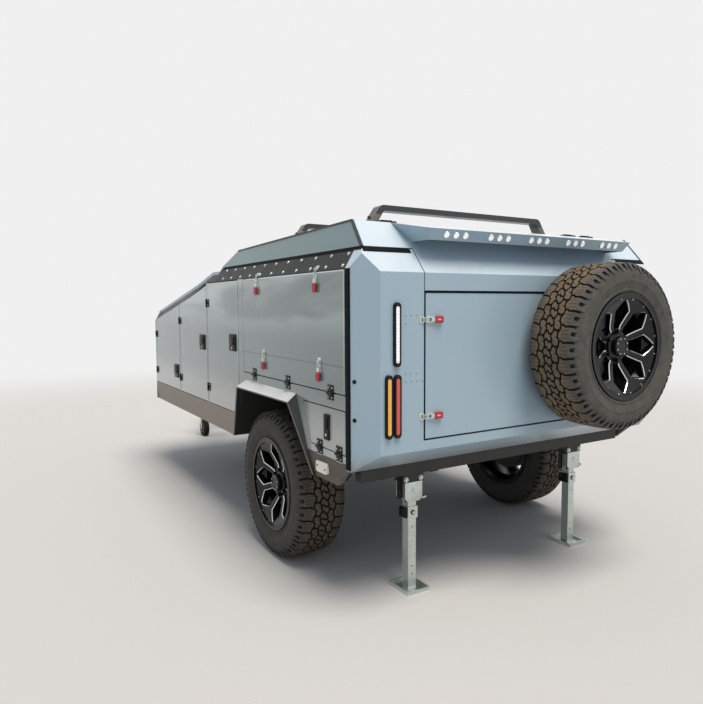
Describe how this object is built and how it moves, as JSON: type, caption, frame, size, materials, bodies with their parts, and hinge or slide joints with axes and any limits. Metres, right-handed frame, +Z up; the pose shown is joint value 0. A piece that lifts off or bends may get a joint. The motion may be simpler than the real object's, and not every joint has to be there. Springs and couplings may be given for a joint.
{
  "type": "off-road hard-lid camper trailer",
  "caption": "Box-bodied off-road camper trailer with hinged hard lid, rear door carrying the spare wheel, side doors, drop legs and jockey wheel.",
  "frame": {"origin": "middle of the length and width, on the ground under the wheels", "axes": "+X forward to the coupling, +Y to the trailer's left, +Z up"},
  "size_m": [5.0377, 2.026, 1.82],
  "materials": {
    "paint_blue_grey": "satin blue-grey paint",
    "paint_side": "glossy grey-green paint",
    "black_steel": "black powder coat",
    "skirt_grey": "grey-brown textured coat",
    "fender_grey": "satin grey paint",
    "zinc": "zinc plated",
    "rim_black": "gloss black with milled edges",
    "drum_silver": "silver painted casting",
    "tyre_rubber": "matt, dusty",
    "seal_rubber": "matt",
    "black_plastic": "matt",
    "lens_clear": "clear ribbed lens",
    "lens_amber": "amber ribbed lens",
    "lens_red": "red ribbed lens",
    "deck_ply": "plywood board",
    "inner_lining": "mill finish sheet",
    "bar_dark": "dark anodised",
    "wheel_rubber": "solid rubber"
  },
  "bodies": {
    "trailer": {"chassis_frame": "black_steel", "drawbar": "black_steel", "coupling": "black_steel", "trailing_arms": "black_steel", "coil_springs": "black_steel", "dampers": "zinc", "wheel_liners": "black_steel", "fenders": "fender_grey", "rear_frame": "paint_blue_grey", "side_arch_panels": "paint_side", "side_sills": "skirt_grey", "side_top_rails": "paint_side", "side_posts": "paint_side", "front_roof": "paint_blue_grey", "nose_panel": "paint_blue_grey", "floor": "inner_lining", "bulkheads": "inner_lining", "bed_deck": "deck_ply", "rear_hinges": "black_steel", "lid_seals": "seal_rubber", "lamp_bezels": "black_plastic", "lamps_clear": "lens_clear", "lamps_amber": "lens_amber", "lamps_red": "lens_red", "marker_lamps": "lens_clear"},
    "lid": {"lid_shell": "paint_blue_grey", "lid_tail": "paint_blue_grey", "visor": "paint_blue_grey", "visor_lamps": "lens_clear", "roof_bars": "bar_dark"},
    "rear_door": {"rear_door": "paint_blue_grey", "spare_carrier": "black_steel", "rear_latches": "zinc", "spare_tyre": "tyre_rubber", "spare_rim": "rim_black"},
    "drop_door_left": {"drop_door_left": "paint_side", "drop_latches_left": "zinc"},
    "drop_door_right": {"drop_door_right": "paint_side", "drop_latches_right": "zinc"},
    "hatch_left": {"hatch_left": "paint_side"},
    "hatch_right": {"hatch_right": "paint_side"},
    "wheel_left": {"tyre_left": "tyre_rubber", "rim_left": "rim_black", "hub_left": "drum_silver"},
    "wheel_right": {"tyre_right": "tyre_rubber", "rim_right": "rim_black", "hub_right": "drum_silver"},
    "leg_left": {"leg_left": "zinc"},
    "leg_right": {"leg_right": "zinc"},
    "jockey_stand": {"jockey_outer": "zinc"},
    "jockey_tube": {"jockey_inner": "zinc"},
    "jockey_caster": {"jockey_fork": "zinc"},
    "jockey_wheel": {"jockey_wheel": "wheel_rubber"},
    "front_door_left_1": {"front_door_left_1": "paint_side"},
    "front_door_left_2": {"front_door_left_2": "paint_side"},
    "front_door_left_3": {"front_door_left_3": "paint_side"},
    "front_door_right_1": {"front_door_right_1": "paint_side"},
    "front_door_right_2": {"front_door_right_2": "paint_side"},
    "front_door_right_3": {"front_door_right_3": "paint_side"}
  },
  "joints": [
    {"name": "wheel_left_spin", "type": "hinge", "parent": "trailer", "child": "wheel_left", "pos_m": [-1.27125, 0.826, 0.388], "axis": [0, 1, 0], "continuous": true},
    {"name": "wheel_right_spin", "type": "hinge", "parent": "trailer", "child": "wheel_right", "pos_m": [-1.27125, -0.826, 0.388], "axis": [0, 1, 0], "continuous": true},
    {"name": "lid_hinge", "type": "hinge", "parent": "trailer", "child": "lid", "pos_m": [-0.46325, 0, 1.56], "axis": [0, 1, 0], "range_deg": [0, 70]},
    {"name": "rear_door_hinge", "type": "hinge", "parent": "trailer", "child": "rear_door", "pos_m": [-2.25625, -0.675, 1.07], "axis": [0, 0, 1], "range_deg": [0, 90]},
    {"name": "drop_door_left_hinge", "type": "hinge", "parent": "trailer", "child": "drop_door_left", "pos_m": [-1.51625, 0.966, 0.957], "axis": [-1, 0, 0], "range_deg": [0, 90]},
    {"name": "drop_door_right_hinge", "type": "hinge", "parent": "trailer", "child": "drop_door_right", "pos_m": [-1.51625, -0.966, 0.957], "axis": [1, 0, 0], "range_deg": [0, 90]},
    {"name": "hatch_left_hinge", "type": "hinge", "parent": "trailer", "child": "hatch_left", "pos_m": [-1.92125, 0.966, 0.703], "axis": [-1, 0, 0], "range_deg": [0, 90]},
    {"name": "hatch_right_hinge", "type": "hinge", "parent": "trailer", "child": "hatch_right", "pos_m": [-1.92125, -0.966, 0.703], "axis": [1, 0, 0], "range_deg": [0, 90]},
    {"name": "leg_left_fold", "type": "hinge", "parent": "trailer", "child": "leg_left", "pos_m": [-1.97125, 0.55, 0.475], "axis": [-1, 0, 0], "range_deg": [0, 90]},
    {"name": "leg_right_fold", "type": "hinge", "parent": "trailer", "child": "leg_right", "pos_m": [-1.97125, -0.55, 0.475], "axis": [1, 0, 0], "range_deg": [0, 90]},
    {"name": "jockey_fold", "type": "hinge", "parent": "trailer", "child": "jockey_stand", "pos_m": [1.96101, 0.2803, 0.6], "axis": [0.3416, 0.9398, 0], "range_deg": [0, 90]},
    {"name": "jockey_raise", "type": "slide", "parent": "jockey_stand", "child": "jockey_tube", "axis": [0, 0, 1], "range_m": [-0.1, 0.15]},
    {"name": "jockey_swivel", "type": "hinge", "parent": "jockey_tube", "child": "jockey_caster", "pos_m": [1.96101, 0.2803, 0.222], "axis": [0, 0, 1], "continuous": true},
    {"name": "jockey_wheel_spin", "type": "hinge", "parent": "jockey_caster", "child": "jockey_wheel", "pos_m": [1.93701, 0.2803, 0.085], "axis": [0, 1, 0], "continuous": true},
    {"name": "front_door_left_1_hinge", "type": "hinge", "parent": "trailer", "child": "front_door_left_1", "pos_m": [-0.31875, 0.966, 1], "axis": [0, 0, -1], "range_deg": [0, 90]},
    {"name": "front_door_left_2_hinge", "type": "hinge", "parent": "trailer", "child": "front_door_left_2", "pos_m": [0.32625, 0.966, 1], "axis": [0, 0, -1], "range_deg": [0, 90]},
    {"name": "front_door_left_3_hinge", "type": "hinge", "parent": "trailer", "child": "front_door_left_3", "pos_m": [1.02125, 0.966, 1], "axis": [0, 0, -1], "range_deg": [0, 90]},
    {"name": "front_door_right_1_hinge", "type": "hinge", "parent": "trailer", "child": "front_door_right_1", "pos_m": [-0.31875, -0.966, 1], "axis": [0, 0, 1], "range_deg": [0, 90]},
    {"name": "front_door_right_2_hinge", "type": "hinge", "parent": "trailer", "child": "front_door_right_2", "pos_m": [0.32625, -0.966, 1], "axis": [0, 0, 1], "range_deg": [0, 90]},
    {"name": "front_door_right_3_hinge", "type": "hinge", "parent": "trailer", "child": "front_door_right_3", "pos_m": [1.02125, -0.966, 1], "axis": [0, 0, 1], "range_deg": [0, 90]}
  ]
}
